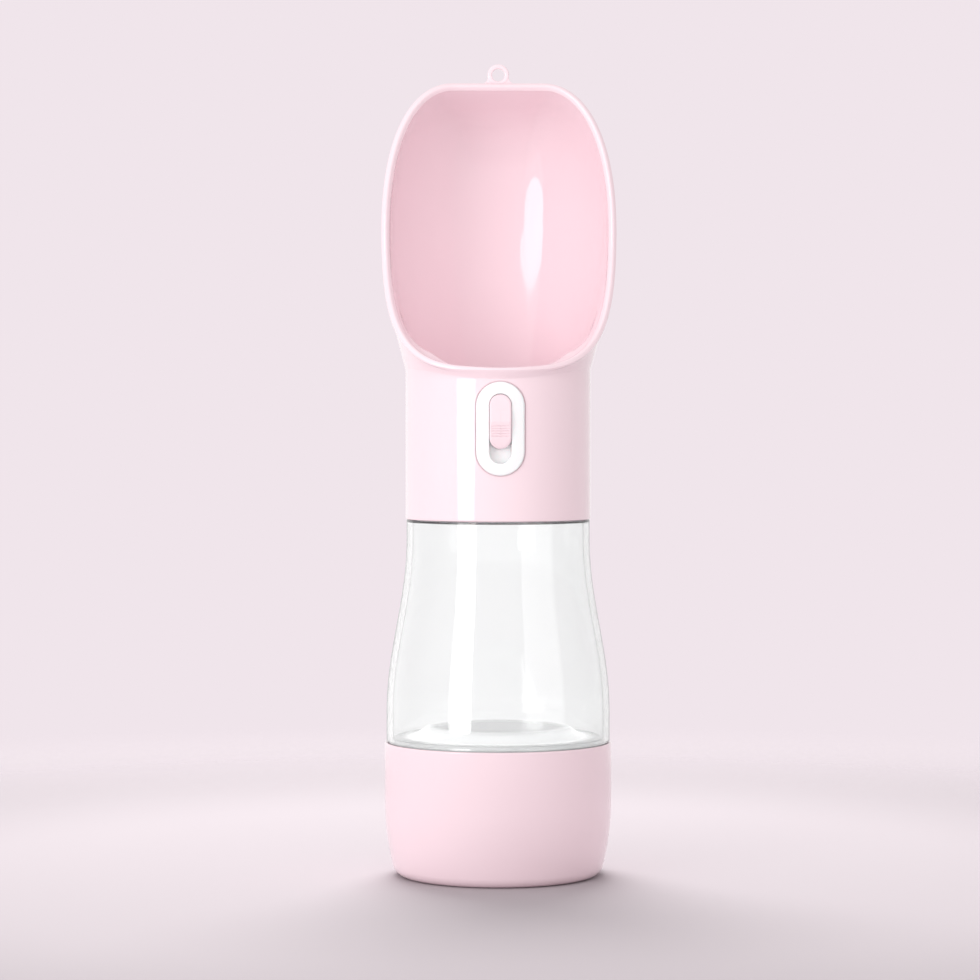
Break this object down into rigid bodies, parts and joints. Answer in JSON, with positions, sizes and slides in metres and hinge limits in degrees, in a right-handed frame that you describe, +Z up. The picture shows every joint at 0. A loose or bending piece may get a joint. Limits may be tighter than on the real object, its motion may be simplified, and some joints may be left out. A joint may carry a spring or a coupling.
{
  "type": "dog travel water bottle",
  "caption": "Clear drinking bottle for walks with a dog, with a scoop-shaped drinking trough on top, a press-to-pour lock button and a screw-on food cup below.",
  "frame": {"origin": "on the bottle's axis, at the foot of the food cup", "axes": "+Z up along the bottle's axis, the scoop and the button face -Y, +X to the right seen from the front"},
  "size_m": [0.0736, 0.072, 0.2566],
  "materials": {
    "pink_abs": "moulded ABS, gloss pale pink",
    "white_abs": "moulded ABS, satin white",
    "clear_bottle": "clear moulded copolyester, polished",
    "silicone": "moulded food-grade silicone, matt",
    "steel": "spring steel, bright drawn"
  },
  "bodies": {
    "cup": {"food_cup": "pink_abs"},
    "cup_ring": {"cup_seal": "silicone"},
    "bottle": {"bottle_body": "clear_bottle", "bottle_base": "clear_bottle"},
    "neck_ring": {"neck_gasket": "silicone"},
    "head": {"head_shell": "pink_abs", "lanyard_loop": "pink_abs", "button_bezel": "white_abs", "valve_core": "white_abs", "valve_cage": "white_abs", "outlet_grommet": "silicone", "lever_pin": "steel", "valve_spring": "steel"},
    "carrier": {"slide_carrier": "white_abs", "button_spring": "steel"},
    "button": {"release_button": "pink_abs", "button_pusher": "white_abs"},
    "lever": {"valve_lever": "white_abs"},
    "valve": {"valve_stem": "white_abs", "stem_oring": "silicone", "valve_plug": "silicone", "plug_washer": "steel"}
  },
  "joints": [
    {"name": "cup_lift", "type": "slide", "parent": "cup", "child": "cup_ring", "axis": [0, 0, 1], "range_m": [0, 0.004]},
    {"name": "cup_turn", "type": "hinge", "parent": "cup_ring", "child": "bottle", "pos_m": [0, 0, 0.0428], "axis": [0, 0, 1], "range_deg": [0, 360]},
    {"name": "head_lift", "type": "slide", "parent": "bottle", "child": "neck_ring", "axis": [0, 0, 1], "range_m": [0, 0.004]},
    {"name": "head_turn", "type": "hinge", "parent": "neck_ring", "child": "head", "pos_m": [0, 0, 0.124], "axis": [0, 0, 1], "range_deg": [0, 360]},
    {"name": "lock_slide", "type": "slide", "parent": "head", "child": "carrier", "axis": [0, 0, -1], "range_m": [0, 0.0044]},
    {"name": "button_press", "type": "slide", "parent": "carrier", "child": "button", "axis": [0, 1, 0], "range_m": [0, 0.0025], "stiffness_N_per_m": 300, "springref_m": -0.0004, "deforming": ["button_spring"]},
    {"name": "lever_tilt", "type": "hinge", "parent": "head", "child": "lever", "pos_m": [0, -0.01, 0.138], "axis": [-1, 0, 0], "range_deg": [0, 15]},
    {"name": "valve_lift", "type": "slide", "parent": "head", "child": "valve", "axis": [0, 0, -1], "range_m": [0, 0.0027], "stiffness_N_per_m": 150, "springref_m": -0.0006, "deforming": ["valve_spring"]}
  ],
  "couplings": [
    {"joint": "cup_turn", "follows": "cup_lift", "rad_per_m": 1570.8},
    {"joint": "head_turn", "follows": "head_lift", "rad_per_m": 1570.8},
    {"joint": "lever_tilt", "follows": "button_press", "rad_per_m": 104.72},
    {"joint": "valve_lift", "follows": "button_press", "ratio": 1.0799}
  ]
}
